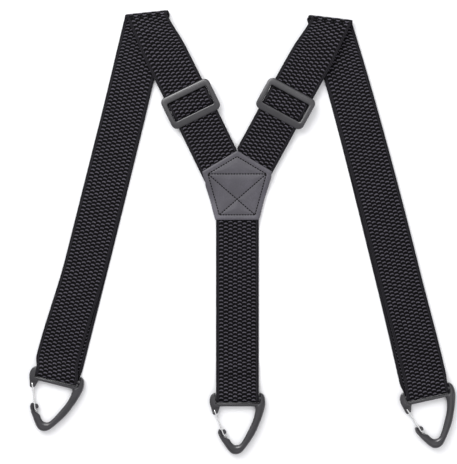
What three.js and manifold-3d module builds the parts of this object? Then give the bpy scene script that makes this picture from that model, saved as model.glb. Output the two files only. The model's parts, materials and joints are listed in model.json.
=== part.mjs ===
// Y-back suspenders in wide elastic webbing, laid flat: a leather yoke patch on the back, one rear
// strap, two shoulder straps that fold over themselves, two length sliders, three wire-gate hooks.
// Millimetres, +Z up. The rear strap runs down -Y and the wearer's shoulder folds are at +Y.
import * as THREE from "three";
import { mergeVertices } from "three/addons/utils/BufferGeometryUtils.js";
import Module from "manifold-3d";

const wasm = await Module();
wasm.setup();

// ---- driving dimensions ----
const WEBBING = { width: 50, thickness: 1.6 };
const GAP = 0.3;                    // room left between two pieces that touch
const LAYER_GAP = 0.2;              // room between two layers of webbing that lie on each other

const YOKE = {
  centreX: -5.3, apexY: 94.5, shoulderY: 70.3, lowerY: 14.4,
  shoulderHalfWidth: 40.6, lowerHalfWidth: 25.1,
  backThickness: 1.2, frontBottom: 6.4, frontThickness: 1.4,
};

// lean: how far a strap's run down from the fold turns from -Y towards +X, in degrees
const SIDES = [
  { name: "left", fold: [-109.4, 251.6], backLean: 26.0, frontLean: -14.1, frontLength: 434, bow: 0,
    slider: 113.7 },
  { name: "right", fold: [103.2, 245.5], backLean: -28.5, frontLean: 14.6, frontLength: 448, bow: 4,
    slider: 109.1 },
];
const FOLD_AXIS_HEIGHT = 5.2;       // the two layers turn round this height at the shoulder
const BACK_STRAP_LENGTH = 236;      // from the fold to where its end lies under the yoke
const BACK_STRAP_FALL = 5.6 / BACK_STRAP_LENGTH;

const REAR = { x: -5.0, topY: 60, hookY: -194.3, tail: 32, underYoke: 1.4 };

const SLIDER = {
  width: 62, length: 39.5, corner: 6.5, endBar: 8.3, sideBar: 4.9, thickness: 4.5,
  centreBar: 4.6, centreBarThickness: 2.4, anchorLength: 28,
};

const HOOK = {
  halfThickness: 3.6, barRadius: 2.3, axisHeight: 4.2,
  slotHalfWidth: 25.8, crossbarTop: -5.7, crossbarBottom: -9.2, crossbarHalfThickness: 2.2,
  webHalfThickness: 1.5, wireRadius: 0.8, wireSpread: 2.7, pivot: [-26.8, -13.5],
  seatY: -54.6,                     // the flat at the bottom of the ring, where a belt loop hangs
};

// ---- materials ----
const MATERIALS = {
  webbing: new THREE.MeshStandardMaterial({ color: 0x232326, roughness: 0.9, metalness: 0 }),
  leather: new THREE.MeshStandardMaterial({ color: 0x2f2f31, roughness: 0.5, metalness: 0 }),
  plastic: new THREE.MeshStandardMaterial({ color: 0x2c2c2e, roughness: 0.45, metalness: 0 }),
  steel: new THREE.MeshStandardMaterial({ color: 0xc8c8cc, roughness: 0.25, metalness: 1 }),
};

const radians = THREE.MathUtils.degToRad;

// ---- helpers ----
function mesh(name, geometry, material) {
  const piece = new THREE.Mesh(geometry, MATERIALS[material]);
  piece.name = name;
  return piece;
}

function groupAt(parent, x, y, z, turnDegrees = 0) {
  const group = new THREE.Group();
  group.position.set(x, y, z);
  group.rotation.z = radians(turnDegrees);
  parent.add(group);
  return group;
}

// A plan outline made a plate from `bottom` up to `bottom + thickness`.
function plate(outline, bottom, thickness, curveSegments = 6) {
  const options = { depth: thickness, bevelEnabled: false, curveSegments };
  return new THREE.ExtrudeGeometry(outline, options).translate(0, 0, bottom);
}

// A side outline, drawn as (y, z), made as wide as `width` along X.
function acrossWidth(outline, width, curveSegments = 6) {
  const turned = new THREE.Matrix4().makeBasis(
    new THREE.Vector3(0, 1, 0), new THREE.Vector3(0, 0, 1), new THREE.Vector3(1, 0, 0));
  const options = { depth: width, bevelEnabled: false, curveSegments };
  return new THREE.ExtrudeGeometry(outline, options).translate(0, 0, -width / 2).applyMatrix4(turned);
}

// The outline of a strip of webbing that follows a centre line, drawn as (y, z).
function stripOutline(centreLine, thickness, divisions = 6) {
  const points = centreLine.getPoints(divisions);
  const sides = [[], []];
  points.forEach((point, index) => {
    const before = points[Math.max(index - 1, 0)];
    const after = points[Math.min(index + 1, points.length - 1)];
    const along = after.clone().sub(before).normalize();
    const across = new THREE.Vector2(-along.y, along.x).multiplyScalar(thickness / 2);
    sides[0].push(point.clone().add(across));
    sides[1].push(point.clone().sub(across));
  });
  return new THREE.Shape([...sides[0], ...sides[1].reverse()]);
}

function toSolid(geometry) {
  const bare = geometry.clone();
  bare.deleteAttribute("normal");
  bare.deleteAttribute("uv");
  const merged = mergeVertices(bare, 1e-4);
  return new wasm.Manifold(new wasm.Mesh({
    numProp: 3,
    vertProperties: new Float32Array(merged.attributes.position.array),
    triVerts: new Uint32Array(merged.index.array),
  }));
}

function toGeometry(solid) {
  const result = solid.getMesh();
  const geometry = new THREE.BufferGeometry();
  geometry.setAttribute("position", new THREE.BufferAttribute(new Float32Array(result.vertProperties), 3));
  geometry.setIndex(new THREE.BufferAttribute(new Uint32Array(result.triVerts), 1));
  return geometry;
}

function join(geometries) {
  return geometries.map(toSolid).reduce((whole, next) => whole.add(next));
}

// ---- yoke: two leather pentagons with the strap ends between them ----
function yokeOutline() {
  const { centreX, apexY, shoulderY, lowerY, shoulderHalfWidth, lowerHalfWidth } = YOKE;
  const outline = new THREE.Shape();
  outline.moveTo(centreX - lowerHalfWidth, lowerY);
  outline.lineTo(centreX + lowerHalfWidth, lowerY);
  outline.lineTo(centreX + shoulderHalfWidth, shoulderY);
  outline.lineTo(centreX, apexY);
  outline.lineTo(centreX - shoulderHalfWidth, shoulderY);
  outline.closePath();
  return outline;
}

function addYoke(parent) {
  parent.add(mesh("yoke_back_patch", plate(yokeOutline(), 0, YOKE.backThickness), "leather"));
  const front = plate(yokeOutline(), YOKE.frontBottom, YOKE.frontThickness);
  parent.add(mesh("yoke_front_patch", front, "leather"));
}

// ---- webbing round a hook's bar: the top layer comes down, wraps the bar, goes back beneath ----
// Heights of a strip's middle: lying on the floor, lying on another layer, and over the bar.
const ON_FLOOR = WEBBING.thickness / 2;
const ON_LAYER = ON_FLOOR + WEBBING.thickness + LAYER_GAP;
const WRAP_RADIUS = HOOK.barRadius + GAP + WEBBING.thickness / 2;
const RISE = 9;                     // how gently the strip rises over the bar

function wrapBar(line) {
  const overBar = HOOK.axisHeight + WRAP_RADIUS;
  const start = line.currentPoint.clone();
  line.bezierCurveTo(start.x - RISE, start.y, 2 + RISE, overBar, 2, overBar);
  line.absarc(0, HOOK.axisHeight, WRAP_RADIUS, Math.PI / 2, Math.PI * 1.5, false);
}

// The front strap lies in the frame of its own run: the fold at y = 0, the hook's bar at y = -length.
function frontStrapGeometry(side, cutSlope) {
  const { frontLength: length, bow } = side;
  const steps = 12;
  const stretch = length - 26;
  const line = new THREE.Path().moveTo(length - GAP, ON_LAYER);
  for (let step = 1; step <= steps; step += 1) line.lineTo(length - stretch * step / steps, ON_LAYER);
  wrapBar(line);
  for (let step = steps; step >= 0; step -= 1) {
    line.lineTo(Math.min(length - GAP, length - stretch * step / steps), ON_FLOOR);
  }
  const geometry = acrossWidth(stripOutline(line, WEBBING.thickness), WEBBING.width);
  geometry.translate(0, -length, 0);
  followRun(geometry, length, bow, cutSlope);
  return geometry;
}

// Bends a straight strap sideways by `bow` at its middle and cuts its upper end along the fold line.
function followRun(geometry, length, bow, cutSlope) {
  const position = geometry.attributes.position;
  for (let index = 0; index < position.count; index += 1) {
    const x = position.getX(index);
    const y = position.getY(index);
    const part = THREE.MathUtils.clamp(-y / length, 0, 1);
    const beyond = Math.min(y + length, 0);
    const tangent = -4 * bow / length * (1 - 2 * part);
    const cut = cutSlope * Math.max(0, 1 - part / 0.9);
    position.setX(index, x + 4 * bow * part * (1 - part) + tangent * beyond);
    position.setY(index, y - x * (part === 0 ? cut : cut + tangent * Math.min(1, part / 0.9)));
  }
}

function addRearStrap(parent) {
  const { x, topY, hookY, tail, underYoke } = REAR;
  const line = new THREE.Path();
  const underPatch = underYoke + WEBBING.thickness / 2;
  line.moveTo(topY, underPatch);
  line.lineTo(YOKE.lowerY - 1, underPatch);
  line.bezierCurveTo(YOKE.lowerY - 6, underPatch, YOKE.lowerY - 8, ON_FLOOR, YOKE.lowerY - 13, ON_FLOOR);
  line.lineTo(hookY + tail + 16, ON_FLOOR);
  line.bezierCurveTo(hookY + tail + 10, ON_FLOOR, hookY + tail + 8, ON_LAYER, hookY + tail + 2, ON_LAYER);
  const local = new THREE.Path();
  local.moveTo(26, ON_LAYER);
  wrapBar(local);
  local.lineTo(tail, ON_FLOOR);
  const points = [...line.getPoints(6), ...local.getPoints(6).map((point) => point.setX(point.x + hookY))];
  const whole = new THREE.Path().setFromPoints(points);
  const geometry = acrossWidth(stripOutline(whole, WEBBING.thickness), WEBBING.width).translate(x, 0, 0);
  parent.add(mesh("rear_strap", geometry, "webbing"));
}

// ---- hook: a strap bar between two cheeks, a crossbar, and a hooked arm with a wire gate ----
function cheekTop(outline, sign) {
  outline.moveTo(sign * HOOK.slotHalfWidth, 6.4);
  outline.quadraticCurveTo(sign * 31, 6.2, sign * 32.4, -1);
}

function gateCheek() {
  const outline = new THREE.Shape();
  cheekTop(outline, -1);
  outline.lineTo(-32.4, -5);
  outline.lineTo(-30.7, -11);
  outline.lineTo(-20.9, -11);
  outline.lineTo(-20.4, HOOK.crossbarBottom);
  outline.lineTo(-HOOK.slotHalfWidth, HOOK.crossbarTop);
  outline.closePath();
  return outline;
}

function gateLug() {
  const outline = new THREE.Shape();
  outline.moveTo(-31, -10);
  outline.lineTo(-29, -17.2);
  outline.quadraticCurveTo(-28.2, -19.6, -25.8, -19);
  outline.lineTo(-22.7, -17.1);
  outline.lineTo(-20.6, -10);
  outline.closePath();
  return outline;
}

function hookedArm() {
  const outline = new THREE.Shape();
  cheekTop(outline, 1);
  outline.lineTo(32.4, -6);
  outline.quadraticCurveTo(32.2, -14, 28.2, -21.8);
  outline.lineTo(11, -56.2);
  outline.quadraticCurveTo(6.5, -65.2, -1.1, -65.2);
  outline.quadraticCurveTo(-9.2, -65, -12.5, -58.8);
  outline.lineTo(-22.6, -40.2);
  outline.quadraticCurveTo(-23.6, -37.2, -21.4, -36.5);
  outline.quadraticCurveTo(-19.4, -36.2, -18.9, -38.6);
  outline.lineTo(-17.7, -43.4);
  outline.lineTo(-12.6, -46.7);
  outline.lineTo(-9.2, -48.2);
  outline.quadraticCurveTo(-6, -54.6, -3.4, HOOK.seatY);
  outline.lineTo(0.8, HOOK.seatY);
  outline.quadraticCurveTo(2.8, -53.6, 5.4, -48.4);
  outline.lineTo(19.4, -20.4);
  outline.quadraticCurveTo(23.6, -11, 17, HOOK.crossbarBottom);
  outline.lineTo(HOOK.slotHalfWidth, HOOK.crossbarTop);
  outline.closePath();
  return outline;
}

function noseHead() {
  const outline = new THREE.Shape();
  outline.moveTo(-20.4, -37.4);
  outline.lineTo(-15.4, -36);
  outline.quadraticCurveTo(-12.4, -37.4, -13, -40.8);
  outline.quadraticCurveTo(-16.4, -42.2, -15.6, -44.2);
  outline.lineTo(-18.6, -44.6);
  outline.closePath();
  return outline;
}

function hookBodyGeometry() {
  const { halfThickness, webHalfThickness, crossbarHalfThickness } = HOOK;
  const slab = (outline, half) => plate(outline, -half, 2 * half);
  const bar = new THREE.Shape().absarc(0, 0, HOOK.barRadius, 0, Math.PI * 2, false);
  const crossbar = new THREE.Shape();
  crossbar.moveTo(-27, HOOK.crossbarBottom);
  crossbar.lineTo(27, HOOK.crossbarBottom);
  crossbar.lineTo(27, HOOK.crossbarTop);
  crossbar.lineTo(-27, HOOK.crossbarTop);
  const body = join([
    slab(gateCheek(), halfThickness), slab(gateLug(), webHalfThickness),
    slab(hookedArm(), halfThickness), slab(noseHead(), webHalfThickness),
    slab(crossbar, crossbarHalfThickness), acrossWidth(bar, 2 * HOOK.slotHalfWidth + 3),
  ]);
  const holeRadius = HOOK.wireRadius + GAP;
  const hole = new THREE.CylinderGeometry(holeRadius, holeRadius, 4 * halfThickness, 12);
  hole.rotateX(Math.PI / 2).translate(HOOK.pivot[0], HOOK.pivot[1], 0);
  return toGeometry(body.subtract(toSolid(hole)));
}

// The gate is one wire: a foot in the lug, a leg each side of the nose, and a cross end under its head.
function gateGeometry() {
  const spread = HOOK.wireSpread;
  const at = (x, y, z) => new THREE.Vector3(x, y, z);
  const [pivotX, pivotY] = HOOK.pivot;
  const bend = 1.6;
  const route = new THREE.CurvePath();
  const legStart = at(pivotX + bend * 0.35, pivotY - bend * 0.94, spread);
  const legEnd = at(-16.6, -41.1, spread);
  const crossStart = at(-12.5, -44.8, spread - bend);
  const mirrored = (point) => at(point.x, point.y, -point.z);
  const corner = at(pivotX, pivotY, spread);
  const knee = at(-15.6, -43.4, spread);
  route.add(new THREE.LineCurve3(at(pivotX, pivotY, 0.4), at(pivotX, pivotY, spread - bend)));
  route.add(new THREE.QuadraticBezierCurve3(at(pivotX, pivotY, spread - bend), corner, legStart));
  route.add(new THREE.LineCurve3(legStart, legEnd));
  route.add(new THREE.QuadraticBezierCurve3(legEnd, knee, crossStart));
  route.add(new THREE.LineCurve3(crossStart, mirrored(crossStart)));
  route.add(new THREE.QuadraticBezierCurve3(mirrored(crossStart), mirrored(knee), mirrored(legEnd)));
  route.add(new THREE.LineCurve3(mirrored(legEnd), mirrored(legStart)));
  route.add(new THREE.QuadraticBezierCurve3(mirrored(legStart), mirrored(corner),
    at(pivotX, pivotY, bend - spread)));
  route.add(new THREE.LineCurve3(at(pivotX, pivotY, bend - spread), at(pivotX, pivotY, -0.4)));
  const section = new THREE.Shape().absarc(0, 0, HOOK.wireRadius, 0, Math.PI * 2, false);
  return new THREE.ExtrudeGeometry(section, { steps: 56, extrudePath: route, curveSegments: 4 });
}

function addHook(parent, name) {
  parent.add(mesh(`${name}_hook_body`, hookBodyGeometry(), "plastic"));
  parent.add(mesh(`${name}_hook_gate`, gateGeometry(), "steel"));
}

// ---- shoulder strap: up from the yoke, over the fold and down to the front hook ----
function halfTurn(innerRadius) {
  const outline = new THREE.Shape();
  outline.absarc(0, 0, innerRadius + WEBBING.thickness, -Math.PI / 2, Math.PI / 2, false);
  outline.absarc(0, 0, innerRadius, Math.PI / 2, -Math.PI / 2, true);
  return outline;
}

// Lets a flat piece fall evenly along -Y, which leaves its thickness as it is.
function letFall(geometry) {
  const shear = new THREE.Matrix4().set(1, 0, 0, 0, 0, 1, 0, 0, 0, BACK_STRAP_FALL, 1, 0, 0, 0, 0, 1);
  return geometry.applyMatrix4(shear);
}

// The back strap's plan, in the frame of its own run. Its end is mitred against the other side's end,
// on the yoke's centre line, and tapers to stay under the yoke.
function backStrapOutline(side, cutSlope) {
  const half = WEBBING.width / 2;
  const lean = radians(side.backLean);
  const inward = Math.sign(side.backLean);
  const toRun = (x, y) => new THREE.Vector2(x - side.fold[0], y - side.fold[1])
    .rotateAround(new THREE.Vector2(), -lean);
  const mitreX = YOKE.centreX - inward * GAP / 2;
  const mitreLow = toRun(mitreX, 42);
  const mitreHigh = toRun(mitreX, YOKE.apexY);
  const share = (inward * half - mitreLow.x) / (mitreHigh.x - mitreLow.x);
  const mitreTop = mitreLow.clone().lerp(mitreHigh, share);
  const tuck = toRun(YOKE.centreX - inward * 29, 42);
  const outline = new THREE.Shape();
  outline.moveTo(-inward * half, -GAP + inward * half * cutSlope);
  outline.lineTo(-inward * half, -194);
  outline.lineTo(tuck.x, tuck.y);
  outline.lineTo(mitreLow.x, mitreLow.y);
  outline.lineTo(mitreTop.x, mitreTop.y);
  outline.lineTo(inward * half, -GAP - inward * half * cutSlope);
  outline.closePath();
  return outline;
}

function returnStrapOutline(side, cutSlope) {
  const half = WEBBING.width / 2;
  const end = -side.slider + SLIDER.anchorLength / 2 + GAP;
  const outline = new THREE.Shape();
  outline.moveTo(-half, -GAP + half * cutSlope);
  outline.lineTo(-half, end);
  outline.lineTo(half, end);
  outline.lineTo(half, -GAP - half * cutSlope);
  outline.closePath();
  return outline;
}

function roundedRectangle(width, height, corner) {
  const [right, top] = [width / 2, height / 2];
  const outline = new THREE.Shape();
  outline.absarc(right - corner, top - corner, corner, 0, Math.PI / 2, false);
  outline.absarc(corner - right, top - corner, corner, Math.PI / 2, Math.PI, false);
  outline.absarc(corner - right, corner - top, corner, Math.PI, Math.PI * 1.5, false);
  outline.absarc(right - corner, corner - top, corner, Math.PI * 1.5, Math.PI * 2, false);
  return outline;
}

// The slider lies on the strap. Its end bars press on the webbing, which humps over the centre bar.
function addSlider(parent, name) {
  const { width, length, corner, endBar, sideBar, thickness, centreBar, centreBarThickness } = SLIDER;
  const frame = roundedRectangle(width, length, corner);
  frame.holes.push(roundedRectangle(width - 2 * sideBar, length - 2 * endBar, 2));
  const bar = roundedRectangle(width - sideBar, centreBar, 1);
  const whole = join([plate(frame, 0, thickness), plate(bar, 0, centreBarThickness)]);
  parent.add(mesh(`${name}_slider_frame`, toGeometry(whole), "plastic"));

  const reach = length / 2 - endBar - GAP - 0.2;
  const low = 0.1 + WEBBING.thickness / 2;
  const high = centreBarThickness + GAP + WEBBING.thickness / 2;
  const hump = new THREE.Path();
  hump.moveTo(-reach, low);
  hump.bezierCurveTo(-reach + 4, low, -reach + 4, high, -centreBar / 2, high);
  hump.lineTo(centreBar / 2, high);
  hump.bezierCurveTo(reach - 4, high, reach - 4, low, reach, low);
  const humpWidth = WEBBING.width - 1.4;
  parent.add(mesh(`${name}_slider_webbing`,
    acrossWidth(stripOutline(hump, WEBBING.thickness), humpWidth), "webbing"));

  const anchor = roundedRectangle(WEBBING.width - 1, SLIDER.anchorLength, 0.5);
  const below = 2 * LAYER_GAP + WEBBING.thickness + 2 * WEBBING.thickness;
  parent.add(mesh(`${name}_slider_anchor`, plate(anchor, -below, 2 * WEBBING.thickness), "webbing"));
}

function addShoulderStrap(parent, side) {
  const bisector = (side.backLean + side.frontLean) / 2;
  const halfAngle = side.backLean - bisector;
  const foldSlope = Math.tan(radians(halfAngle));
  const foldWidth = WEBBING.width / Math.cos(radians(halfAngle));
  const pitch = WEBBING.thickness + LAYER_GAP;
  const innerRadius = FOLD_AXIS_HEIGHT - pitch - WEBBING.thickness;
  const fold = groupAt(parent, ...side.fold, 0, bisector);

  const bends = groupAt(fold, 0, 0, FOLD_AXIS_HEIGHT);
  bends.add(mesh(`${side.name}_shoulder_bend_inner`,
    acrossWidth(halfTurn(innerRadius), foldWidth), "webbing"));
  bends.add(mesh(`${side.name}_shoulder_bend_outer`,
    acrossWidth(halfTurn(innerRadius + pitch), foldWidth), "webbing"));

  const back = groupAt(fold, 0, 0, 0, halfAngle);
  const returnBottom = FOLD_AXIS_HEIGHT + innerRadius;
  const backBottom = returnBottom + pitch;
  const backStrap = letFall(plate(backStrapOutline(side, foldSlope), 0, WEBBING.thickness));
  const returnStrap = letFall(plate(returnStrapOutline(side, foldSlope), 0, WEBBING.thickness));
  back.add(mesh(`${side.name}_back_strap`, backStrap.translate(0, 0, backBottom), "webbing"));
  back.add(mesh(`${side.name}_return_strap`, returnStrap.translate(0, 0, returnBottom), "webbing"));

  const backTop = backBottom + WEBBING.thickness - side.slider * BACK_STRAP_FALL;
  const slider = groupAt(back, 0, -side.slider, backTop + LAYER_GAP);
  slider.rotation.x = Math.atan(BACK_STRAP_FALL);
  addSlider(slider, side.name);

  const front = groupAt(fold, 0, 0, 0, -halfAngle);
  front.add(mesh(`${side.name}_front_strap`, frontStrapGeometry(side, -foldSlope), "webbing"));
  const hookTurn = -THREE.MathUtils.radToDeg(Math.atan(4 * side.bow / side.frontLength));
  addHook(groupAt(front, 0, -side.frontLength, HOOK.axisHeight, hookTurn), side.name);
}

// ---- the whole object ----
const suspenders = new THREE.Group();
addYoke(suspenders);
addRearStrap(suspenders);
addHook(groupAt(suspenders, REAR.x, REAR.hookY, HOOK.axisHeight), "rear");
SIDES.forEach((side) => addShoulderStrap(suspenders, side));

// The origin is the middle of the laid-out box, on the surface it lies on.
const middle = new THREE.Box3().setFromObject(suspenders, true).getCenter(new THREE.Vector3());
suspenders.position.set(-middle.x, -middle.y, 0);

export default suspenders;
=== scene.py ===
"""Y-back suspenders laid flat: knitted elastic webbing, a leather yoke, two sliders and three
wire-gate hooks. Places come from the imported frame, and sizes from it or from the values below.
Metres, +Z up."""
import json
import math

import bmesh
import bpy
from mathutils import Matrix, Vector, noise


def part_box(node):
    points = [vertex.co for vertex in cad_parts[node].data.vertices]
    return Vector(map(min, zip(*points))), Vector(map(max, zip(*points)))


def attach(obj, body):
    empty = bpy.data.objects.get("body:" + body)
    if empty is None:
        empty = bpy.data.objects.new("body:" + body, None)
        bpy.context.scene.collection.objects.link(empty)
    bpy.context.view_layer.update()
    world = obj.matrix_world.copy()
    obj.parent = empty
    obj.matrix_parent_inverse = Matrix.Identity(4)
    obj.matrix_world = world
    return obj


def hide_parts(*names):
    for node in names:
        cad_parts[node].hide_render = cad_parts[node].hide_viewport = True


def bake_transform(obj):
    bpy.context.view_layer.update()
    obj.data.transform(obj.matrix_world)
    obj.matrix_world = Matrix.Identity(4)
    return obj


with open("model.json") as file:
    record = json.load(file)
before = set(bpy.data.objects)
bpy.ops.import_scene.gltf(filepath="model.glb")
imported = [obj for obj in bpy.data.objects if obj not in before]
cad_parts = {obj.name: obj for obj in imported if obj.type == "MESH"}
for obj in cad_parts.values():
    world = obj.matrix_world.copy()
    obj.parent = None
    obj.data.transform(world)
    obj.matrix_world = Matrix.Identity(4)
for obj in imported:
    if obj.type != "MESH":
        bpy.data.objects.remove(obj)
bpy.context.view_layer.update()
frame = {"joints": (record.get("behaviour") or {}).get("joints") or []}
MM = 0.001
UP = Vector((0, 0, 1))
JOINTS = {joint["name"]: joint for joint in frame["joints"]}
SIDES = ("left", "right")
HOOKS = ("rear", "left", "right")

# ---- sizes that the frame doesn't state ----
WEB = 1.6 * MM                     # thickness of the webbing
WIDTH = 50 * MM                    # width of the webbing
PITCH = 1.8 * MM                   # from one layer of webbing to the next
ON_FLOOR = WEB / 2                 # height of the middle of a layer on the floor
ON_LAYER = ON_FLOOR + PITCH        # and of one that lies on another layer
SELVEDGE = 3.4 * MM                # plain woven edge of the webbing
KNIT_COLUMNS = 8                   # columns of cells across the webbing
KNIT_ROW = 4.4 * MM                # one rib and one hole along the webbing
KNIT_BOW = 0.9 * MM                # how far each rib bows in the middle of its column
KNIT_STEEP = 2.4                   # how sharply one column of cells gives way to the next
SELVEDGE_CORD = 1.7 * MM           # one cord of the woven edge
WIRE = 0.8 * MM                    # radius of the gate wire
RING_HALF = 3.6 * MM               # half the thickness of a hook
BAR = 2.3 * MM                     # radius of a hook's strap bar
PINCH = 0.88                       # how far the fold draws the webbing in across its width
SLACK = 0.9 * MM                   # gap between the bar and the end of the loop round it
GAP = 0.3 * MM                     # play between pieces that lie against each other
TAIL = 32 * MM                     # length of the rear strap's sewn-back tail, from the bar
RISE = 26 * MM                     # where the top layer starts to climb to a hook's bar
LAND = 2 * MM                      # and where it has reached the bar's height, both from the bar
SLIDER = (62 * MM, 39.5 * MM)      # width and length of a slider
WINDOW = (50.2 * MM, 22.9 * MM)    # and of the window in it
CENTRE_BAR = (57.1 * MM, 4.6 * MM)
SLIDER_THICK = 4.5 * MM
FRONT_LEATHER = 1.3 * MM           # thickness of the yoke's front leather
BACK_LEATHER = 1.1 * MM            # and of its back leather
LEATHER_LIFT = 0.35 * MM           # how far the front leather stands off what it covers

# How the layers of each shoulder strap lie: how far the top and the lower run drift sideways near the
# hook, and how far the back and the front run step sideways at the fold.
LIE = {
    "left": {"top_flare": 5.0 * MM, "back_flare": 1.4 * MM, "back_step": -1.0 * MM, "front_step": -1.2 * MM},
    "right": {"top_flare": 2.0 * MM, "back_flare": 3.2 * MM, "back_step": 1.2 * MM, "front_step": -0.2 * MM},
}


# ---- places ----
def place(origin, across):
    """A flat working frame: x across, y along, z up off the surface."""
    x = Vector((across[0], across[1], 0)).normalized()
    y = UP.cross(x)
    matrix = Matrix((x, y, UP)).transposed().to_4x4()
    matrix.translation = Vector(origin)
    return matrix


def joint_place(name):
    joint = JOINTS[name]
    return place(joint["pos_m"], joint["axis"])


def middle(node):
    low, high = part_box(node)
    return (low + high) / 2


def smooth(value):
    """0 below 0, 1 above 1, and an even turn between."""
    value = min(max(value, 0.0), 1.0)
    return value * value * (3 - 2 * value)


# ---- making objects ----
def new_object(name, mesh, material):
    piece = bpy.data.objects.new(name, mesh)
    bpy.context.scene.collection.objects.link(piece)
    mesh.materials.append(material)
    return piece


def finish_mesh(name, bm, material, matrix=None, angle=40):
    """Turns a bmesh into a piece whose place is in its mesh."""
    if matrix is not None:
        bm.transform(matrix)
    bmesh.ops.recalc_face_normals(bm, faces=bm.faces)
    for face in bm.faces:
        face.smooth = True
    for edge in bm.edges:
        if len(edge.link_faces) == 2 and edge.calc_face_angle(0) > math.radians(angle):
            edge.smooth = False
    mesh = bpy.data.meshes.new(name)
    bm.to_mesh(mesh)
    bm.free()
    return new_object(name, mesh, material)


def hang(piece, body, slot, *nodes):
    """The piece rides on a body and stands for CAD nodes, which it hides; its finish slot is not used."""
    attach(piece, body)
    if nodes:
        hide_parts(*nodes)
    return piece


def curve_points(start, control, end, steps):
    """A round corner: points of a quadratic arc after its start."""
    points = []
    for step in range(1, steps + 1):
        t = step / steps
        points.append(Vector(start).lerp(Vector(control), t).lerp(Vector(control).lerp(Vector(end), t), t))
    return points


def outline(bm, *parts):
    """A flat face from corner points, given in millimetres. A part of three points is a round corner."""
    points = []
    for part in parts:
        if len(part) == 3:
            points += curve_points(*part, 6)
        else:
            points.append(Vector(part))
    verts = [bm.verts.new((point.x * MM, point.y * MM, 0)) for point in points]
    return bm.faces.new(verts)


def slab(bm, face, half, edge, segments=2):
    """Thickens a flat face both ways by `half` and rounds its edges."""
    verts = list(face.verts)
    bmesh.ops.translate(bm, verts=verts, vec=(0, 0, -half))
    made = bmesh.ops.extrude_face_region(bm, geom=[face])["geom"]
    top = [item for item in made if isinstance(item, bmesh.types.BMVert)]
    bmesh.ops.translate(bm, verts=top, vec=(0, 0, 2 * half))
    rims = set()
    for vert in verts + top:
        for rim in vert.link_edges:
            if abs(rim.verts[0].co.z - rim.verts[1].co.z) < 1e-7:
                rims.add(rim)
    bmesh.ops.bevel(bm, geom=list(rims), offset=edge, offset_type="OFFSET", segments=segments,
                    profile=0.5, affect="EDGES", clamp_overlap=True, material=-1)


def sweep(bm, rings):
    """Skins a row of closed rings, each with the same number of points, and closes both ends."""
    first = [bm.verts.new(point) for point in rings[0]]
    count = len(first)
    edges = [bm.edges.new((first[i], first[(i + 1) % count])) for i in range(count)]
    caps = [first]
    for ring in rings[1:]:
        made = bmesh.ops.extrude_edge_only(bm, edges=edges)["geom"]
        verts = {item for item in made if isinstance(item, bmesh.types.BMVert)}
        fresh = []
        for vert in caps[-1]:
            partner = next(e.other_vert(vert) for e in vert.link_edges if e.other_vert(vert) in verts)
            fresh.append(partner)
        for vert, point in zip(fresh, ring):
            vert.co = point
        edges = [bm.edges.get((fresh[i], fresh[(i + 1) % count])) for i in range(count)]
        caps.append(fresh)
    bm.faces.new(caps[0])
    bm.faces.new(caps[-1])


# ---- materials ----
def grey(level):
    """A neutral colour from an 8-bit screen level."""
    linear = (level / 255) ** 2.2
    return (linear, linear, linear, 1)


def plum(level):
    """A grey with a trace of purple, as black dyes and plastics have in bright light."""
    linear = (level / 255) ** 2.2
    return (linear * 1.03, linear * 0.96, linear * 1.19, 1)


def link(tree, source, target):
    tree.links.new(source, target)


def math_node(tree, operation, a, b=None, clamp=False):
    """A Math node whose inputs are sockets or numbers. Returns its output."""
    node = tree.nodes.new("ShaderNodeMath")
    node.operation = operation
    node.use_clamp = clamp
    for socket, value in zip(node.inputs, (a, b)):
        if value is None:
            continue
        if isinstance(value, (int, float)):
            socket.default_value = value
        else:
            link(tree, value, socket)
    return node.outputs[0]


def times(tree, a, b, clamp=False):
    return math_node(tree, "MULTIPLY", a, b, clamp)


def plus(tree, a, b, clamp=False):
    return math_node(tree, "ADD", a, b, clamp)


def ramp(tree, value, *stops):
    """A colour ramp from (place, colour) stops."""
    node = tree.nodes.new("ShaderNodeValToRGB")
    elements = node.color_ramp.elements
    while len(elements) < len(stops):
        elements.new(1.0)
    for element, (where, colour) in zip(elements, stops):
        element.position = where
        element.color = colour
    link(tree, value, node.inputs["Fac"])
    return node.outputs["Color"]


def noise_node(tree, vector, scale, detail=3.0, roughness=0.55):
    node = tree.nodes.new("ShaderNodeTexNoise")
    node.inputs["Scale"].default_value = scale
    node.inputs["Detail"].default_value = detail
    node.inputs["Roughness"].default_value = roughness
    link(tree, vector, node.inputs["Vector"])
    return node.outputs["Fac"]


def bump_node(tree, height, strength, distance):
    node = tree.nodes.new("ShaderNodeBump")
    node.inputs["Strength"].default_value = strength
    node.inputs["Distance"].default_value = distance
    link(tree, height, node.inputs["Height"])
    return node.outputs["Normal"]


SURFACE = (("Colour", "NodeSocketColor"), ("Roughness", "NodeSocketFloat"), ("Normal", "NodeSocketVector"))


def new_group(name):
    """A shader node group that puts out a surface's colour, roughness and normal."""
    tree = bpy.data.node_groups.new(name, "ShaderNodeTree")
    for title, kind in SURFACE:
        tree.interface.new_socket(name=title, in_out="OUTPUT", socket_type=kind)
    return tree, tree.nodes.new("NodeGroupOutput")


def new_material(name, group, metallic=0.0, coat=0.0, specular=0.5):
    """A Principled material fed by a group's colour, roughness and normal."""
    material = bpy.data.materials.new(name)
    material.use_nodes = True
    tree = material.node_tree
    shader = tree.nodes["Principled BSDF"]
    node = tree.nodes.new("ShaderNodeGroup")
    node.node_tree = group
    link(tree, node.outputs["Colour"], shader.inputs["Base Color"])
    link(tree, node.outputs["Normal"], shader.inputs["Normal"])
    link(tree, node.outputs["Roughness"], shader.inputs["Roughness"])
    shader.inputs["Metallic"].default_value = metallic
    shader.inputs["Coat Weight"].default_value = coat
    shader.inputs["Specular IOR Level"].default_value = specular
    return material


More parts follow.
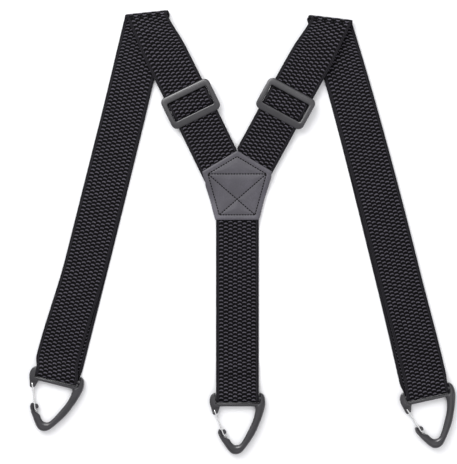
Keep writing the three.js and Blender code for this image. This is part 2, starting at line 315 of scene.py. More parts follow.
def object_coords(tree):
    return tree.nodes.new("ShaderNodeTexCoord").outputs["Object"]


def make_knit():
    """Black elastic: holes and thin bowed ribs in columns, between two plain woven edges. The holes are
    painted near black, partly the yarn's own dark and partly painted shade in their recesses.
    """
    tree, out = new_group("knitted elastic")
    uv = tree.nodes.new("ShaderNodeUVMap")
    uv.uv_map = "strap"
    where = uv.outputs["UV"]
    parts = tree.nodes.new("ShaderNodeSeparateXYZ")
    link(tree, where, parts.inputs["Vector"])
    u, v = parts.outputs["X"], parts.outputs["Y"]

    wander = times(tree, math_node(tree, "SUBTRACT", noise_node(tree, where, 420, 2.0), 0.5), 2.2)
    columns = math.pi * KNIT_COLUMNS / (WIDTH - 2 * SELVEDGE)
    wave = math_node(tree, "SINE", times(tree, math_node(tree, "SUBTRACT", u, SELVEDGE), columns))
    bow = times(tree, math_node(tree, "ABSOLUTE", wave), KNIT_BOW)
    phase = times(tree, plus(tree, v, bow), math.tau / KNIT_ROW)
    swing = math_node(tree, "COSINE", plus(tree, phase, wander))
    side = math_node(tree, "MINIMUM", times(tree, wave, KNIT_STEEP), 1.0)
    side = math_node(tree, "MAXIMUM", side, -1.0)
    rib = times(tree, plus(tree, times(tree, swing, side), 1.0), 0.5, clamp=True)

    from_edge = math_node(tree, "MINIMUM", u, math_node(tree, "SUBTRACT", WIDTH, u))
    edge = math_node(tree, "LESS_THAN", from_edge, SELVEDGE)
    cord = math_node(tree, "COSINE", times(tree, from_edge, math.tau / SELVEDGE_CORD))
    woven = plus(tree, times(tree, cord, -0.12), 0.68)
    inside = times(tree, rib, math_node(tree, "SUBTRACT", 1.0, edge))
    level = plus(tree, inside, times(tree, woven, edge))

    yarn = tree.nodes.new("ShaderNodeTexWave")
    yarn.bands_direction = "Y"
    yarn.inputs["Scale"].default_value = 420
    yarn.inputs["Distortion"].default_value = 1.5
    link(tree, where, yarn.inputs["Vector"])
    fibre = math_node(tree, "SUBTRACT", noise_node(tree, where, 1500, 3.0), 0.5)
    shade = plus(tree, level, times(tree, fibre, 0.5), clamp=True)
    # painted shade: the ramp darkens the holes, partly the black yarn and partly the shade that falls into
    # them
    colour = ramp(tree, shade, (0.0, plum(4)), (0.45, plum(12)), (0.7, plum(30)), (0.86, plum(51)),
                  (1.0, plum(90)))
    height = plus(tree, times(tree, shade, 0.8), times(tree, yarn.outputs["Fac"], 0.2))
    roughness = math_node(tree, "SUBTRACT", 0.95, times(tree, level, 0.2))
    link(tree, colour, out.inputs["Colour"])
    link(tree, roughness, out.inputs["Roughness"])
    link(tree, bump_node(tree, height, 0.7, 0.35 * MM), out.inputs["Normal"])
    return new_material("knit", tree, specular=0.1)


def make_leather():
    """Smooth black leather: fine grain, faint creases, and a painted highlight: the band past the stitching
    is painted lighter for the edges that bend down and catch the light.
    """
    tree, out = new_group("leather")
    where = object_coords(tree)
    border = tree.nodes.new("ShaderNodeAttribute")
    border.attribute_name = "border"
    cells = tree.nodes.new("ShaderNodeTexVoronoi")
    cells.inputs["Scale"].default_value = 900
    link(tree, where, cells.inputs["Vector"])
    cloud = noise_node(tree, where, 24, 4.0)
    grain = noise_node(tree, where, 700, 4.0)
    mix = plus(tree, times(tree, cloud, 0.75), times(tree, grain, 0.3))
    # painted highlight: lightens the band between the stitching and the edge
    mix = plus(tree, mix, times(tree, border.outputs["Fac"], 0.08), clamp=True)
    colour = ramp(tree, mix, (0.2, plum(52)), (0.55, plum(68)), (0.9, plum(98)))
    height = plus(tree, times(tree, cells.outputs["Distance"], 0.6), times(tree, grain, 0.5))
    link(tree, colour, out.inputs["Colour"])
    link(tree, plus(tree, times(tree, grain, 0.25), 0.38), out.inputs["Roughness"])
    link(tree, bump_node(tree, height, 0.35, 0.2 * MM), out.inputs["Normal"])
    return new_material("leather", tree)


def plastic_group():
    """Moulded plastic with a fine spark-eroded grain and a little unevenness in its tone and gloss."""
    tree, out = new_group("moulded grain")
    where = object_coords(tree)
    grain = noise_node(tree, where, 1600, 3.0, 0.7)
    cloud = noise_node(tree, where, 60, 4.0)
    mix = plus(tree, times(tree, grain, 0.6), times(tree, cloud, 0.4))
    link(tree, ramp(tree, mix, (0.3, plum(26)), (0.7, plum(48))), out.inputs["Colour"])
    link(tree, plus(tree, times(tree, mix, 0.35), 0.24), out.inputs["Roughness"])
    link(tree, bump_node(tree, grain, 0.3, 0.15 * MM), out.inputs["Normal"])
    return tree


def make_wire():
    """Bright drawn steel with small scuffs."""
    tree, out = new_group("drawn wire")
    scuff = noise_node(tree, object_coords(tree), 900, 4.0)
    link(tree, ramp(tree, scuff, (0.3, grey(196)), (0.75, grey(236))), out.inputs["Colour"])
    link(tree, plus(tree, times(tree, scuff, 0.3), 0.08), out.inputs["Roughness"])
    link(tree, bump_node(tree, scuff, 0.12, 0.05 * MM), out.inputs["Normal"])
    return new_material("gate wire", tree, metallic=1.0)


def make_thread():
    """Black bonded thread with a rough, uneven twist."""
    tree, out = new_group("thread")
    twist = noise_node(tree, object_coords(tree), 2600, 2.0)
    link(tree, ramp(tree, twist, (0.3, plum(3)), (0.7, plum(14))), out.inputs["Colour"])
    link(tree, plus(tree, times(tree, twist, 0.2), 0.6), out.inputs["Roughness"])
    link(tree, bump_node(tree, twist, 0.5, 0.1 * MM), out.inputs["Normal"])
    return new_material("thread", tree, specular=0.15)


KNIT = make_knit()
LEATHER = make_leather()
GRAIN = plastic_group()
SLIDER_PLASTIC = new_material("slider plastic", GRAIN, specular=0.75)
HOOK_PLASTIC = new_material("hook plastic", GRAIN, coat=0.3)
GATE_WIRE = make_wire()
THREAD = make_thread()


# ---- knitted elastic webbing ----
def knit(u, v):
    """The knit at `u` across and `v` along: 0 in a hole, 1 on a rib, about half on the selvedge."""
    inner = min(u, WIDTH - u) - SELVEDGE
    if inner < 0:
        return 0.5 + 0.12 * math.cos(math.tau * inner / SELVEDGE_CORD)
    column = (u - SELVEDGE) / (WIDTH - 2 * SELVEDGE) * KNIT_COLUMNS
    wave = math.sin(math.pi * column)
    drift = noise.noise(Vector((u * 90, v * 90, 0))) * 0.5
    drift += noise.noise(Vector((u * 400, v * 400, 3))) * 0.35
    along = (v + KNIT_BOW * abs(wave)) / KNIT_ROW * math.tau + drift
    swing = math.cos(along) * max(-1.0, min(1.0, KNIT_STEEP * wave))
    return 0.5 + 0.5 * swing


class Row:
    """One row of points across a strip: where it is in the strip's side view, and how far along.
    `layer` runs from 0 to 1 between the two layers or ends that a strip's bend tells apart."""

    def __init__(self, y, z, v, layer=1.0):
        self.y, self.z, self.v, self.layer = y, z, v, layer


def rows_along(points, steps):
    """Rows along a side view given as (y, z) corners, `steps` rows to each stretch."""
    rows = []
    v = 0.0
    for index, (start, end) in enumerate(zip(points, points[1:])):
        start, end = Vector(start), Vector(end)
        for step in range(steps[index]):
            point = start.lerp(end, step / steps[index])
            rows.append(Row(point.x, point.y, v + (end - start).length * step / steps[index]))
        v += (end - start).length
    rows.append(Row(points[-1][0], points[-1][1], v))
    return rows


def webbing(name, matrix, rows, bend, columns=46, width=WIDTH):
    """A strip of webbing, thicker on its ribs and thinner in its holes and at its edges.
    `bend(x, row)` gives the place of a point that lies x from the middle."""
    bm = bmesh.new()
    bmesh.ops.create_grid(bm, x_segments=columns, y_segments=len(rows) - 1, size=1)
    uv = bm.loops.layers.uv.new("strap")
    thick = bm.verts.layers.deform.verify()
    places = {}
    for vert in bm.verts:
        row = rows[round((vert.co.y + 1) / 2 * (len(rows) - 1))]
        x = vert.co.x * width / 2
        u = x + WIDTH / 2
        places[vert] = (u, row.v)
        edge = smooth((width / 2 - abs(x)) / (1.1 * MM))
        vert[thick][0] = (0.45 + 0.55 * edge) * (0.66 + 0.34 * knit(u, row.v))
        vert.co = bend(x, row)
    for face in bm.faces:
        for loop in face.loops:
            loop[uv].uv = places[loop.vert]
    bm.transform(matrix)
    mesh = bpy.data.meshes.new(name)
    bm.to_mesh(mesh)
    bm.free()
    for polygon in mesh.polygons:
        polygon.use_smooth = True
    piece = new_object(name, mesh, KNIT)
    piece.vertex_groups.new(name="thick")
    solid = piece.modifiers.new("thickness", "SOLIDIFY")
    solid.thickness = WEB
    solid.offset = 0
    solid.vertex_group = "thick"
    solid.thickness_vertex_group = 0.0
    return piece


def straight(x, row):
    """The bend of a strip that runs straight in its own frame."""
    return Vector((x, row.y, row.z))


def loop_over_bar(y, z):
    """Side view of the top layer as it climbs to a hook's bar at (y, z) and turns half round it."""
    wrap = BAR + GAP + WEB / 2
    points = []
    for step in range(9):
        t = step / 8
        points.append((y + RISE - (RISE - LAND) * t, ON_LAYER + (z + wrap - ON_LAYER) * smooth(t)))
    for step in range(13):
        angle = math.pi * (0.5 + step / 12)
        points.append((y + (wrap + SLACK) * math.cos(angle), z + wrap * math.sin(angle)))
    return points


def turn_between(a, b):
    """The turn from one direction to another, anticlockwise from above."""
    return math.atan2(a.x * b.y - a.y * b.x, a.dot(b))


def slider_place(side):
    """A slider's own frame: x across, y up the strap, z off it, from the bottom of its frame."""
    along = Vector(JOINTS[f"{side.name}_slider_slide"]["axis"])
    x = side.back.col[0].to_3d()
    normal = x.cross(along)
    matrix = Matrix((x, along, normal)).transposed().to_4x4()
    matrix.translation = middle(f"{side.name}_slider_frame") - normal * SLIDER_THICK / 2
    return matrix


class Side:
    """One shoulder strap: its fold, its two runs down from it, and how they lie."""

    def __init__(self, name):
        self.name = name
        self.inward = 1 if name == "left" else -1
        self.lie = LIE[name]
        self.fold = joint_place(f"{name}_shoulder_fold")
        self.hook = joint_place(f"{name}_hook_swing")
        self.axis_height = self.fold.translation.z
        slide = Vector(JOINTS[f"{name}_slider_slide"]["axis"])
        self.fall = slide.z / slide.to_2d().length
        down = self.hook.translation - self.fold.translation
        self.length = down.to_2d().length
        below_fold = self.fold.translation.to_2d().to_3d()
        self.back = place(below_fold, (slide.y, -slide.x))
        self.back_inverse = self.back.inverted()
        self.front = place(below_fold, (-down.y, down.x))
        self.lean = turn_between(self.fold.col[1].to_2d(), self.back.col[1].to_2d())
        self.slope = math.tan(self.lean)
        turn = turn_between(self.hook.col[0].to_2d(), self.front.col[0].to_2d())
        self.bow = math.tan(turn) * self.length / 4
        self.slider_at = (middle(f"{name}_slider_frame") - self.back.translation).to_2d().length


def back_bend(side, bottom):
    """The run from the fold to the yoke. The two runs meet in a mitre on the yoke's centre line."""
    centre = middle("yoke_front_patch").x

    def bend(x, row):
        part = smooth(1 + row.y / (130 * MM))
        squeeze = 1 - (1 - PINCH) * smooth(1 + row.y / (50 * MM))
        shifted = x * squeeze + side.lie["back_step"] * part * math.cos(side.lean)
        y = row.y - shifted * side.slope * max(0.0, 1 + row.y / (60 * MM))
        z = bottom + WEB / 2 + side.fall * y
        point = Vector((shifted, y, z))
        beyond = ((side.back @ point).x - centre) * side.inward + GAP
        if beyond > 0:
            point.x -= side.inward * beyond / side.back.col[0].x
        return point

    return bend


def make_back_strap(side):
    """The top layer behind: from the fold, through the slider, to its end inside the yoke."""
    end = -202 * MM
    rows = rows_along([(-GAP, 0), (end, 0)], [300])
    name = f"{side.name}_back_strap"
    strap = webbing(name, side.back, rows, back_bend(side, side.axis_height + 2 * PITCH))
    hang(strap, "root", "webbing", name)


def make_return_strap(side):
    """The layer beneath it: from the fold back to the slider, made at one length; on the real strap it draws
    out as the slider slides.
    """
    reach = side.slider_at - 14 * MM
    rows = rows_along([(-GAP, 0), (-reach, 0)], [90])
    name = f"{side.name}_return_strap"
    strap = webbing(name, side.back, rows, back_bend(side, side.axis_height + PITCH), columns=36)
    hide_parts(name)
    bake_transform(strap)


def make_shoulder_bend(side, layer, inner_radius):
    """Half a turn of webbing over the fold. It runs on from the back strap to the front strap."""
    radius = inner_radius + WEB / 2
    turns = 18
    rows = [Row(0, 0, math.pi * radius * step / turns, step / turns) for step in range(turns + 1)]
    half = WIDTH / math.cos(side.lean) / 2

    def bend(x, row):
        angle = math.pi * (0.5 - row.layer)
        squeeze = PINCH + (1 - PINCH) * row.layer
        across = x / (WIDTH / 2) * half * squeeze
        back_step, front_step = side.lie["back_step"], side.lie["front_step"]
        across += back_step + (front_step - back_step) * row.layer
        return Vector((across, radius * math.cos(angle), radius * math.sin(angle)))

    name = f"{side.name}_shoulder_bend_{layer}"
    strap = webbing(name, side.fold, rows, bend)
    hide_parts(name)
    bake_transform(strap)


def make_front_strap(side):
    """Down from the fold on top, over the hook's bar, round it and back up beneath."""
    length = side.length
    points = [(-GAP, ON_LAYER)] + loop_over_bar(-length, side.hook.translation.z) + [(-GAP, ON_FLOOR)]
    lower_rows = 270
    rows = rows_along(points, [600] + [4] * 8 + [2] * 13 + [lower_rows])
    for row in rows[-lower_rows:]:
        row.layer = 0.0

    def bend(x, row):
        part = min(max(-row.y / length, 0.0), 1.0)
        beyond = min(row.y + length, 0.0)
        tangent = -4 * side.bow / length * (1 - 2 * part)
        cut = -side.slope * max(0.0, 1 - part / 0.2)
        aside = 4 * side.bow * part * (1 - part) + tangent * beyond
        aside += side.lie["front_step"] * math.cos(side.lean) * smooth(1 - part / 0.3)
        flare = smooth((part - 0.68) / 0.27) * (1 - 0.8 * smooth((part - 0.955) / 0.04))
        if row.layer > 0.5:
            aside -= side.inward * side.lie["top_flare"] * flare
        else:
            drift = smooth(part / 0.7) * smooth((1 - part) / 0.04)
            aside += side.inward * side.lie["back_flare"] * drift
        y = row.y - (x + aside) * cut - x * tangent * min(1.0, part / 0.2)
        return Vector((x + aside, y, row.z))

    name = f"{side.name}_front_strap"
    strap = webbing(name, side.front, rows, bend)
    hang(strap, name, "webbing", name)


def make_slider_webbing(side):
    """The stretch of strap that humps over the slider's centre bar."""
    name = f"{side.name}_slider_webbing"
    reach = 10.6 * MM
    points = []
    for step in range(17):
        y = reach * (1 - step / 8)
        lift = smooth((reach - abs(y)) / (6.5 * MM))
        points.append((y, (0.9 + 2.6 * lift) * MM))
    rows = rows_along(points, [2] * 16)
    strap = webbing(name, slider_place(side), rows, straight, width=WIDTH - 1.4 * MM)
    hang(strap, f"{side.name}_slider", "webbing", name)


def make_slider_anchor(side):
    """The strap's sewn end, folded double under the slider."""
    name = f"{side.name}_slider_anchor"
    fold = []
    for step in range(9):
        angle = math.pi * (0.5 + step / 8)
        fold.append((-12.4 * MM + 0.8 * MM * math.cos(angle), 0.8 * MM * math.sin(angle) - 3.6 * MM))
    points = [(13.9 * MM, -2.8 * MM)] + fold + [(13.9 * MM, -4.4 * MM)]
    rows = rows_along(points, [34] + [1] * 8 + [34])
    end = webbing(name, slider_place(side), rows, straight, columns=36, width=WIDTH - 1 * MM)
    end.modifiers["thickness"].thickness = WEB - 0.1 * MM
    hang(end, f"{side.name}_slider", "webbing", name)


def make_rear_strap():
    """From under the yoke to the rear hook's bar, round it, and back up as a sewn tail."""
    axis = joint_place("rear_hook_swing").translation
    under_yoke = 2.2 * MM
    top_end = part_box("rear_strap")[1].y
    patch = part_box("yoke_back_patch")[0].y
    tail = axis.y + TAIL
    points = [(top_end, under_yoke), (patch - 1 * MM, under_yoke)]
    for step in range(1, 7):
        drop = (ON_FLOOR - under_yoke) * smooth(step / 6)
        points.append((patch - (1 + 2 * step) * MM, under_yoke + drop))
    points.append((tail + 12 * MM, ON_FLOOR))
    for step in range(1, 6):
        points.append((tail + (12 - 2 * step) * MM, ON_FLOOR + PITCH * smooth(step / 5)))
    points += loop_over_bar(axis.y, axis.z)
    points.append((tail, ON_FLOOR))
    spans = [(Vector(end) - Vector(start)).length for start, end in zip(points, points[1:])]
    rows = rows_along(points, [max(1, round(span / (0.7 * MM))) for span in spans])
    matrix = Matrix.Translation((middle("rear_strap").x, 0, 0))
    strap = webbing("rear_strap", matrix, rows, straight)
    hang(strap, "root", "webbing", "rear_strap")


# ---- the leather yoke ----
class Yoke:
    """The pentagon and the straps that lift its front leather."""

    def __init__(self, sides):
        self.sides = sides
        low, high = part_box("yoke_front_patch")
        self.low, self.high = low, high
        self.centre = (low.x + high.x) / 2
        shoulder = low.y + (high.y - low.y) * 0.698
        foot = (high.x - low.x) * 0.309
        self.corners = [
            Vector((self.centre - foot, low.y)), Vector((self.centre + foot, low.y)),
            Vector((high.x, shoulder)), Vector((self.centre, high.y)), Vector((low.x, shoulder)),
        ]
        self.edges = list(zip(self.corners, self.corners[1:] + self.corners[:1]))

    def support(self, x, y):
        """Height of what lies under the front leather at a place."""
        rear = 1 - smooth((abs(x - self.centre) - WIDTH / 2 + 0.5 * MM) / (3 * MM))
        height = (1.5 + 1.6 * rear) * MM
        for side in self.sides:
            local = side.back_inverse @ Vector((x, y, 0))
            under = 1 - smooth((abs(local.x) - WIDTH / 2 + GAP) / (3 * MM))
            under *= 1 - smooth((-local.y - 200 * MM) / (34 * MM))
            top = side.axis_height + 2 * PITCH + WEB + GAP + side.fall * local.y
            height = max(height, height + (top - height) * under)
        return height

    def leather(self, x, y):
        """Underside of the front leather: what lies beneath, eased out as stiff leather does."""
        rings, turns = 3, 8
        total = 0.0
        for ring in range(1, rings + 1):
            reach = ring * 1.2 * MM
            for turn in range(turns):
                angle = math.tau * (turn + ring / 3) / turns
                total += self.support(x + reach * math.cos(angle), y + reach * math.sin(angle))
        return max(self.support(x, y) - 0.5 * MM, total / (rings * turns))

    def edge(self, x, y):
        """Distance from a place to the nearest edge of the pentagon."""
        point = Vector((x, y))
        nearest = 1.0
        for a, b in self.edges:
            along = (b - a).normalized()
            nearest = min(nearest, -(point - a).cross(along))
        return nearest

    def seams(self):
        """The stitched lines, as pairs of ends: all round, straight across, and the X."""
        inset = 5.6 * MM
        inner = []
        for index, corner in enumerate(self.corners):
            before = (self.corners[index - 1] - corner).normalized()
            after = (self.corners[(index + 1) % 5] - corner).normalized()
            half = before.angle(after) / 2
            inner.append(corner + (before + after).normalized() * inset / math.sin(half))
        round_it = list(zip(inner, inner[1:] + inner[:1]))
        return round_it + [(inner[4], inner[2]), (inner[4], inner[1]), (inner[2], inner[0])]


def sheet_of_leather(yoke, cell):
    """A flat sheet cut to the pentagon, in cells of about `cell`."""
    bm = bmesh.new()
    width, height = yoke.high.x - yoke.low.x, yoke.high.y - yoke.low.y
    bmesh.ops.create_grid(bm, x_segments=round(width / cell), y_segments=round(height / cell), size=0.5)
    bmesh.ops.scale(bm, verts=bm.verts, vec=(width, height, 1))
    bmesh.ops.translate(bm, verts=bm.verts, vec=(yoke.centre, yoke.low.y + height / 2, 0))
    for a, b in yoke.edges:
        along = (b - a).normalized()
        outward = Vector((along.y, -along.x, 0))
        bmesh.ops.bisect_plane(bm, geom=bm.verts[:] + bm.edges[:] + bm.faces[:], dist=1e-7,
                               plane_co=(a.x, a.y, 0), plane_no=outward, clear_outer=True)
    return bm


def seam_distance(seams, x, y):
    point = Vector((x, y))
    nearest = 1.0
    for a, b in seams:
        along = b - a
        part = min(max((point - a).dot(along) / along.length_squared, 0.0), 1.0)
        nearest = min(nearest, (point - a - along * part).length)
    return nearest


def thicken(piece, thickness):
    """Gives a sheet its thickness, above the surface it was made on."""
    solid = piece.modifiers.new("thickness", "SOLIDIFY")
    solid.thickness = thickness
    solid.offset = 1


def make_front_leather(yoke, seams):
    """The front patch: it swells between the seams, is drawn in along them, and droops at its edge."""
    front = sheet_of_leather(yoke, 0.9 * MM)
    border = front.verts.layers.float.new("border")
    for vert in front.verts:
        x, y = vert.co.x, vert.co.y
        gap = seam_distance(seams, x, y)
        edge = yoke.edge(x, y)
        swell = 0.45 * MM * smooth(gap / (7 * MM)) - 0.35 * MM * (1 - smooth(gap / (1.1 * MM)))
        droop = 0.5 * MM * (1 - smooth(edge / (1.6 * MM)))
        # mask of the painted edge highlight: the band past the stitching
        vert[border] = 1 - smooth((edge - 4.4 * MM) / (1.2 * MM))
        vert.co.z = yoke.leather(x, y) + LEATHER_LIFT + swell - droop
    leather = finish_mesh("yoke_front_patch", front, LEATHER, angle=80)
    thicken(leather, FRONT_LEATHER)
    hang(leather, "root", "leather", "yoke_front_patch")


def make_back_leather(yoke):
    """The back patch: flat, on whatever the yoke rests on."""
    back = sheet_of_leather(yoke, 2.4 * MM)
    # an empty layer for the painted edge highlight, so the back patch shows none
    back.verts.layers.float.new("border")
    bmesh.ops.translate(back, verts=back.verts, vec=(0, 0, 0.05 * MM))
    leather = finish_mesh("yoke_back_patch", back, LEATHER, angle=80)
    thicken(leather, BACK_LEATHER)
    hang(leather, "root", "leather", "yoke_back_patch")


def make_yoke_thread(yoke, seams):
    """The stitches that show on the front leather, and those that show on the back."""
    stitch, gap = 2.6 * MM, 0.7 * MM
    sunk = 0.28 * MM

    def on_leather(point):
        top = yoke.leather(point.x, point.y) + LEATHER_LIFT + FRONT_LEATHER
        return Vector((point.x, point.y, top - sunk))

    def under_leather(point):
        return Vector((point.x, point.y, 0.66 * MM))

    front = stitches("yoke_thread", seams, on_leather, stitch, gap, 0.62 * MM)
    hang(front, "root", "webbing")
    back = stitches("yoke_back_thread", seams, under_leather, stitch, gap, 0.5 * MM, facing=-1)
    hang(back, "root", "webbing")


# One stitch: (part of its length, part of its radius, how many radii it stands proud).
STITCH_SHAPE = ((0.0, 0.45, -0.5), (0.12, 0.9, 0.2), (0.5, 1.0, 0.6), (0.88, 0.9, 0.2), (1.0, 0.45, -0.5))


def stitches(name, lines, lay, length, gap, radius, facing=1):
    """Rows of thread stitches: each a short round strand that dips into the work at both ends."""
    bm = bmesh.new()
    for a, b in lines:
        along = (b - a).normalized()
        side = Vector((-along.y, along.x, 0))
        count = max(1, round((b - a).length / (length + gap)))
        pitch = (b - a).length / count
        for index in range(count):
            start = a + along * (pitch * index + gap / 2)
            rings = []
            for part, size, lift in STITCH_SHAPE:
                centre = lay(start + along * (pitch - gap) * part) + UP * radius * lift * facing
                ring = []
                for turn in range(6):
                    angle = math.tau * turn / 6
                    ring.append(centre + (side * math.cos(angle) + UP * math.sin(angle)) * radius * size)
                rings.append(ring)
            sweep(bm, rings)
    return finish_mesh(name, bm, THREAD, angle=80)


def make_strap_seams():
    """The seam that closes the rear strap's tail above the hook."""
    low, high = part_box("rear_strap")
    bar = joint_place("rear_hook_swing").translation.y
    lines = []
    for height in (27 * MM, 30 * MM):
        y = bar + height
        lines.append((Vector((low.x + 3 * MM, y)), Vector((high.x - 3 * MM, y))))

    def on_strap(point):
        return Vector((point.x, point.y, ON_LAYER + WEB / 2 - 0.1 * MM))

    thread = stitches("rear_strap_seam", lines, on_strap, 2.4 * MM, 0.8 * MM, 0.34 * MM)
    hang(thread, "root", "webbing")


# ---- moulded parts and wire ----
def rounded_rectangle(width, length, radius, steps=6):
    """The corner points of a rectangle with round corners."""
    points = []
    for turn, (sx, sy) in enumerate(((1, 1), (-1, 1), (-1, -1), (1, -1))):
        for step in range(steps + 1):
            angle = math.pi / 2 * (turn + step / steps)
            points.append(Vector((sx * (width / 2 - radius) + radius * math.cos(angle),
                                  sy * (length / 2 - radius) + radius * math.sin(angle))))
    return points


def ring_bar(bm, outer, inner, section):
    """A closed frame: `section` gives (part of the way from outer to inner, height) round its bar."""
    around, across = len(outer), len(section)
    bmesh.ops.create_grid(bm, x_segments=around, y_segments=across, size=1)
    for vert in bm.verts:
        i = round((vert.co.x + 1) / 2 * around) % around
        part, height = section[round((vert.co.y + 1) / 2 * across) % across]
        point = outer[i].lerp(inner[i], part)
        vert.co = (point.x, point.y, height)
    bmesh.ops.remove_doubles(bm, verts=bm.verts, dist=1e-6)


def make_slider(side):
    """The slider: a soft-edged frame whose lower bar slopes away, and the round-edged bar inside it."""
    outer = rounded_rectangle(*SLIDER, 6.5 * MM)
    inner = rounded_rectangle(*WINDOW, 2 * MM)
    section = []
    for step in range(20):
        angle = math.tau * step / 20
        across, up = -math.cos(angle), math.sin(angle)
        part = 0.5 + 0.5 * math.copysign(abs(across) ** 0.55, across)
        height = 0.5 + 0.5 * math.copysign(abs(up) ** 0.6, up)
        section.append((part, height * SLIDER_THICK))
    bm = bmesh.new()
    ring_bar(bm, outer, inner, section)
    lower_bar = -WINDOW[1] / 2
    for vert in bm.verts:
        fall = 0.3 * max(0.0, lower_bar - vert.co.y)
        vert.co.z -= fall * smooth(vert.co.z / SLIDER_THICK)
    bar = bmesh.new()
    corners = rounded_rectangle(*CENTRE_BAR, 1 * MM)
    face = bar.faces.new([bar.verts.new((point.x, point.y, 0)) for point in corners])
    slab(bar, face, 1.2 * MM, 0.6 * MM)
    bmesh.ops.translate(bar, verts=bar.verts, vec=(0, 0, 1.2 * MM))
    join_into(bm, bar)
    name = f"{side.name}_slider_frame"
    slider = finish_mesh(name, bm, SLIDER_PLASTIC, slider_place(side), angle=50)
    hang(slider, f"{side.name}_slider", "slider_plastic", name)


def join_into(bm, other):
    """Adds another bmesh's parts to this one."""
    carried = bpy.data.meshes.new("carried")
    other.to_mesh(carried)
    other.free()
    bm.from_mesh(carried)
    bpy.data.meshes.remove(carried)


# A hook's shapes are in millimetres in its own frame: x along the strap bar, y up the strap.
# The hooked arm from its cheek to its nose: (outer edge, inner edge).
HOOKED_ARM = (
    ((28.4, 6.2), (25.8, 6.3)), ((30.9, 4.0), (25.8, 3.4)), ((32.3, -0.6), (25.7, -2.0)),
    ((32.6, -5.6), (24.6, -6.0)), ((32.3, -8.6), (20.6, -9.0)), ((31.7, -11.4), (20.9, -12.0)),
    ((30.2, -17.0), (20.4, -17.0)),
    ((27.9, -24.0), (18.7, -24.1)), ((25.4, -30.1), (16.0, -30.8)), ((22.2, -37.8), (12.7, -37.5)),
    ((18.0, -45.3), (9.3, -44.2)), ((13.2, -52.4), (6.6, -48.9)), ((9.3, -57.7), (4.2, -52.4)),
    ((5.3, -62.4), (1.8, -54.2)), ((1.3, -64.7), (-0.6, -54.6)), ((-2.6, -65.2), (-3.0, -54.5)),
    ((-6.8, -64.0), (-5.2, -53.3)), ((-10.8, -60.3), (-7.4, -51.0)), ((-14.0, -55.9), (-9.3, -47.9)),
    ((-16.8, -51.7), (-12.4, -46.5)), ((-19.5, -47.6), (-15.9, -45.0)), ((-21.4, -43.9), (-17.4, -42.0)),
    ((-22.8, -40.5), (-18.5, -38.8)), ((-22.5, -37.6), (-19.2, -36.9)), ((-21.5, -36.5), (-20.4, -36.3)),
)
# Its section: (part of the way from outer to inner edge, part of half the thickness).
ARM_SECTION = (
    (0.0, 0.25), (0.03, 0.55), (0.1, 0.85), (0.2, 1.0), (0.27, 0.99), (0.33, 0.8), (0.58, 0.74), (0.66, 0.78),
    (0.72, 0.72), (0.88, 0.42), (1.0, 0.12),
)
GATE_CHEEK = (
    (-25.8, -5.7), (-25.8, 6.4), ((-25.8, 6.4), (-31, 6.2), (-32.4, -1)), (-32.4, -5), (-30.7, -11),
    (-20.9, -11), (-20.4, -9.2),
)
GATE_LUG = (
    (-31, -10), (-29, -17.2), ((-29, -17.2), (-28.2, -19.6), (-25.8, -19)), (-22.7, -17.1), (-20.6, -10),
)
NOSE_HEAD = (
    (-20.4, -37.4), (-15.4, -36), ((-15.4, -36), (-12.4, -37.4), (-13, -40.8)),
    ((-13, -40.8), (-16.4, -42.2), (-15.6, -44.2)), (-18.6, -44.6),
)
CROSSBAR = ((-27, -9.2), (27, -9.2), (27, -5.7), (-27, -5.7))
PIVOT = (-26.8, -13.5)


def through(points, steps):
    """A smooth line through points, with `steps` pieces to each gap."""
    line = []
    last = len(points) - 1
    for index in range(last):
        before, start = points[max(index - 1, 0)], points[index]
        end, after = points[index + 1], points[min(index + 2, last)]
        for step in range(steps):
            t = step / steps
            bend = (end - before) * t + (2 * before - 5 * start + 4 * end - after) * t ** 2
            line.append(start + (bend + (3 * start - before - 3 * end + after) * t ** 3) / 2)
    line.append(points[last])
    return line


def hooked_arm(bm):
    """The arm: a rounded outer edge, a rim, a shallow channel and a slope down to the inner edge."""
    outer = through([Vector(pair[0]) for pair in HOOKED_ARM], 3)
    inner = through([Vector(pair[1]) for pair in HOOKED_ARM], 3)
    profile = list(ARM_SECTION) + [(part, -height) for part, height in reversed(ARM_SECTION)]
    rings = []
    for a, b in zip(outer, inner):
        ring = []
        for part, height in profile:
            point = a.lerp(b, part) * MM
            ring.append(Vector((point.x, point.y, height * RING_HALF)))
        rings.append(ring)
    sweep(bm, rings)


def make_hook(name):
    """The moulded hook: two cheeks, a strap bar, a crossbar, the hooked arm and the gate's lug."""
    bm = bmesh.new()
    hooked_arm(bm)
    for part, half, edge in (
        (GATE_CHEEK, RING_HALF, 1.0 * MM), (GATE_LUG, 1.5 * MM, 0.4 * MM), (NOSE_HEAD, 1.5 * MM, 0.4 * MM),
        (CROSSBAR, 2.2 * MM, 0.9 * MM),
    ):
        piece = bmesh.new()
        slab(piece, outline(piece, *part), half, edge, segments=3)
        join_into(bm, piece)
    bar = bmesh.new()
    turned = Matrix.Rotation(math.pi / 2, 4, "Y")
    bmesh.ops.create_cone(bar, cap_ends=True, segments=32, radius1=BAR, radius2=BAR, depth=54.6 * MM,
                          matrix=turned)
    join_into(bm, bar)
    node = f"{name}_hook_body"
    body = finish_mesh(node, bm, HOOK_PLASTIC, joint_place(f"{name}_hook_swing"), angle=32)
    hang(body, f"{name}_hook", "hook_plastic", node)


def gate_route():
    """The wire's middle line: a foot, a leg, the cross end, and the same again on the other side."""
    spread, bend = 2.7, 1.6
    leg_start = (PIVOT[0] + bend * 0.35, PIVOT[1] - bend * 0.94, spread)
    leg_end = (-16.6, -41.1, spread)
    cross = (-12.5, -44.8, spread - bend)
    half = [Vector((*PIVOT, 0.4)), Vector((*PIVOT, spread - bend))]
    half += curve_points((*PIVOT, spread - bend), (*PIVOT, spread), leg_start, 6)
    for step in range(1, 9):
        half.append(Vector(leg_start).lerp(Vector(leg_end), step / 8))
    half += curve_points(leg_end, (-15.6, -43.4, spread), cross, 8)
    other = [Vector((point.x, point.y, -point.z)) for point in reversed(half)]
    return half + other


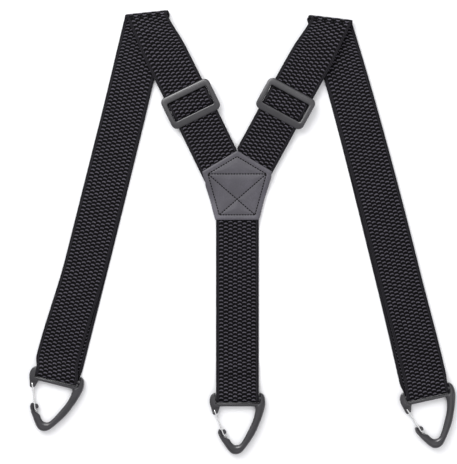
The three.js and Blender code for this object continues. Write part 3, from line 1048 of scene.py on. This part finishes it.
def make_gate(name):
    """One bent wire, skinned with a round section that follows its middle line."""
    route = gate_route()
    rings = []
    side = Vector((1, 0, 0))
    for index, point in enumerate(route):
        before = route[max(index - 1, 0)]
        after = route[min(index + 1, len(route) - 1)]
        along = (after - before).normalized()
        side = (side - along * side.dot(along)).normalized()
        up = along.cross(side)
        ring = []
        for turn in range(12):
            angle = math.tau * turn / 12
            ring.append(point * MM + (side * math.cos(angle) + up * math.sin(angle)) * WIRE)
        rings.append(ring)
    bm = bmesh.new()
    sweep(bm, rings)
    node = f"{name}_hook_gate"
    gate = finish_mesh(node, bm, GATE_WIRE, joint_place(f"{name}_hook_swing"), angle=60)
    hang(gate, f"{name}_gate", "gate_wire", node)


# ---- the floor, the light and the camera ----
def make_floor():
    """A matt white table just below the object."""
    bm = bmesh.new()
    bmesh.ops.create_grid(bm, x_segments=8, y_segments=8, size=2.0)
    bmesh.ops.translate(bm, verts=bm.verts, vec=(0, 0, -GAP))
    white = bpy.data.materials.new("white table")
    white.use_nodes = True
    shader = white.node_tree.nodes["Principled BSDF"]
    shader.inputs["Base Color"].default_value = (0.96, 0.96, 0.97, 1)
    shader.inputs["Roughness"].default_value = 0.9
    shader.inputs["Specular IOR Level"].default_value = 0.1
    finish_mesh("floor", bm, white)


def area_light(name, where, size, power):
    """A round soft light aimed at the middle of the floor."""
    data = bpy.data.lights.new(name, "AREA")
    data.shape = "DISK"
    data.size = size
    data.energy = power
    lamp = bpy.data.objects.new(name, data)
    bpy.context.scene.collection.objects.link(lamp)
    lamp.location = where
    lamp.rotation_euler = (-Vector(where)).to_track_quat("-Z", "Y").to_euler()
    return lamp


def make_camera():
    """A long lens straight above the laid-out straps, a little below and beside the yoke."""
    camera = bpy.data.cameras.new("camera")
    camera.lens = 150
    camera.sensor_width = 36
    camera.clip_end = 20
    view = bpy.data.objects.new("camera", camera)
    across = middle("yoke_front_patch").x - 10.1 * MM
    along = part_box("yoke_front_patch")[0].y - 14.4 * MM
    view.location = (across, along, 2.262)
    bpy.context.scene.collection.objects.link(view)
    bpy.context.scene.camera = view


def make_stage():
    make_floor()
    world = bpy.data.worlds.new("white room")
    bpy.context.scene.world = world
    world.use_nodes = True
    background = world.node_tree.nodes["Background"]
    background.inputs["Color"].default_value = (0.98, 0.98, 1.0, 1)
    background.inputs["Strength"].default_value = 0.78
    area_light("key", (-0.75, 1.1, 1.2), 1.5, 24)
    sheen = area_light("sheen", (-0.5, 1.15, 1.5), 0.9, 26)
    sheen.visible_diffuse = False
    area_light("fill", (0.9, -0.2, 1.5), 1.2, 4)
    make_camera()
    bpy.context.scene.view_settings.view_transform = "Standard"


# ---- build ----
def build():
    sides = [Side(name) for name in SIDES]
    for side in sides:
        make_back_strap(side)
        make_return_strap(side)
        make_shoulder_bend(side, "outer", 2 * PITCH)
        make_shoulder_bend(side, "inner", PITCH)
        make_front_strap(side)
        make_slider_webbing(side)
        make_slider_anchor(side)
        make_slider(side)
    make_rear_strap()
    make_strap_seams()
    yoke = Yoke(sides)
    seams = yoke.seams()
    make_front_leather(yoke, seams)
    make_back_leather(yoke)
    make_yoke_thread(yoke, seams)
    for name in HOOKS:
        make_hook(name)
        make_gate(name)
    make_stage()


build()
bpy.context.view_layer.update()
